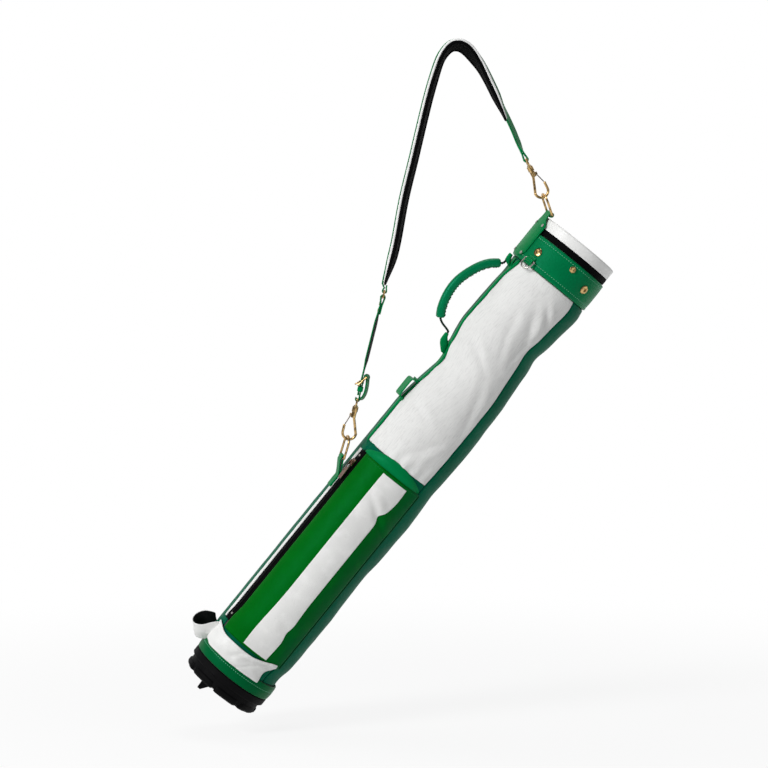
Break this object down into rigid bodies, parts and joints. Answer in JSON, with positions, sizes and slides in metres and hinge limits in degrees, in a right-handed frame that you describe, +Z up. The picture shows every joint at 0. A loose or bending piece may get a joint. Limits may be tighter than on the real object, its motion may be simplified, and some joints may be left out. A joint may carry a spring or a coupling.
{
  "type": "golf carry bag",
  "caption": "Slim round golf carry bag hung by its padded shoulder strap, with side pocket, carry handle, ringed mouth and rubber base.",
  "frame": {"origin": "underside of the shoulder strap's crown, where the strap hangs", "axes": "+Z up, +X towards the bag's raised mouth, +Y away from the pocket side"},
  "size_m": [0.6422, 0.1485, 1.0154],
  "materials": {
    "green_leather": "satin",
    "pocket_green": "satin",
    "white_leather": "satin",
    "white_nylon": "matte",
    "black_fabric": "matte",
    "black_plastic": "matte",
    "black_rubber": "matte",
    "white_plastic": "satin",
    "gold_metal": "polished",
    "silver_metal": "polished"
  },
  "bodies": {
    "strap": {"upper_swivel": "gold_metal", "lower_swivel": "gold_metal", "pad_liner": "black_fabric", "pad_cover": "white_leather", "long_strap": "green_leather", "link_ring": "gold_metal", "hole_strap": "green_leather", "buckle_strap": "green_leather", "buckle_frame": "gold_metal", "strap_keepers": "green_leather", "strap_rivets": "gold_metal"},
    "bag": {"body_tube": "black_plastic", "lining": "black_fabric", "front_panel": "white_nylon", "back_panel": "green_leather", "spine_piping": "green_leather", "spine_strip": "green_leather", "spine_rivets": "silver_metal", "mouth_cuff": "white_plastic", "black_band": "black_plastic", "collar": "green_leather", "large_snaps": "gold_metal", "small_snaps": "gold_metal", "accessory_tab": "green_leather", "lower_ring_tab": "green_leather", "handle_anchors": "green_leather", "towel_loop": "green_leather", "pocket_welt": "green_leather", "pocket_front": "pocket_green", "pocket_stripe": "white_leather", "pocket_gusset": "white_leather", "zipper_tape": "black_fabric", "zipper_chain": "black_plastic", "zipper_stops": "silver_metal", "grab_strap": "white_leather", "foot_band": "green_leather", "base_flange": "black_rubber", "base_boot": "black_rubber", "base_fin": "black_rubber", "base_disc": "black_plastic", "base_screws": "silver_metal"},
    "upper_hook": {"upper_hook": "gold_metal"},
    "upper_gate": {"upper_gate": "silver_metal"},
    "lower_hook": {"lower_hook": "gold_metal"},
    "lower_gate": {"lower_gate": "silver_metal"},
    "buckle_prong": {"buckle_prong": "gold_metal"},
    "upper_ring": {"upper_ring": "gold_metal"},
    "lower_ring": {"lower_ring": "gold_metal"},
    "accessory_ring": {"accessory_ring": "gold_metal"},
    "handle": {"handle_core": "green_leather", "handle_grip": "green_leather"},
    "zip_slider": {"zip_slider": "silver_metal"},
    "zip_pull": {"zip_pull": "silver_metal"}
  },
  "joints": [
    {"name": "bag_swing", "type": "hinge", "parent": "strap", "child": "bag", "pos_m": [0.1298, 0, -0.216], "axis": [0.628, 0, 0.7782], "range_deg": [-15, 15]},
    {"name": "upper_hook_swivel", "type": "hinge", "parent": "strap", "child": "upper_hook", "pos_m": [0.1298, 0, -0.216], "axis": [-0.4478, 0, 0.8942], "range_deg": [-10, 10]},
    {"name": "upper_gate_hinge", "type": "hinge", "parent": "upper_hook", "child": "upper_gate", "pos_m": [0.11771, 0, -0.18291], "axis": [0, 1, 0], "range_deg": [0, 18], "stiffness_Nm_per_rad": 0.01, "springref_deg": -11.46},
    {"name": "lower_hook_swivel", "type": "hinge", "parent": "strap", "child": "lower_hook", "pos_m": [-0.16283, 0, -0.57866], "axis": [0.2419, 0, 0.9703], "range_deg": [-10, 10]},
    {"name": "lower_gate_hinge", "type": "hinge", "parent": "lower_hook", "child": "lower_gate", "pos_m": [-0.15824, 0, -0.54373], "axis": [0, -1, 0], "range_deg": [0, 18], "stiffness_Nm_per_rad": 0.01, "springref_deg": -11.46},
    {"name": "buckle_prong_hinge", "type": "hinge", "parent": "strap", "child": "buckle_prong", "pos_m": [-0.13519, 0, -0.48764], "axis": [0, 1, 0], "range_deg": [0, 35]},
    {"name": "upper_ring_hinge", "type": "hinge", "parent": "bag", "child": "upper_ring", "pos_m": [0.13963, 0.00857, -0.24346], "axis": [0.2534, -0.9455, -0.2044], "range_deg": [-3, 3]},
    {"name": "lower_ring_hinge", "type": "hinge", "parent": "bag", "child": "lower_ring", "pos_m": [-0.17166, 0.00387, -0.60749], "axis": [0.2534, -0.9455, -0.2044], "range_deg": [-3, 3]},
    {"name": "accessory_ring_hinge", "type": "hinge", "parent": "bag", "child": "accessory_ring", "pos_m": [0.10836, -0.02708, -0.31178], "axis": [0.6133, -0.6157, -0.4948], "range_deg": [-75, 0]},
    {"name": "handle_swing", "type": "hinge", "parent": "bag", "child": "handle", "pos_m": [0.0285, 0.00602, -0.3694], "axis": [0.628, 0, 0.7782], "range_deg": [-30, 30], "stiffness_Nm_per_rad": 0.3},
    {"name": "zip_slide", "type": "slide", "parent": "bag", "child": "zip_slider", "axis": [-0.628, 0, -0.7782], "range_m": [0, 0.262]},
    {"name": "zip_pull_hinge", "type": "hinge", "parent": "zip_slider", "child": "zip_pull", "pos_m": [-0.15719, -0.01112, -0.61341], "axis": [0.4324, -0.8315, -0.3489], "range_deg": [-75, 0]}
  ]
}
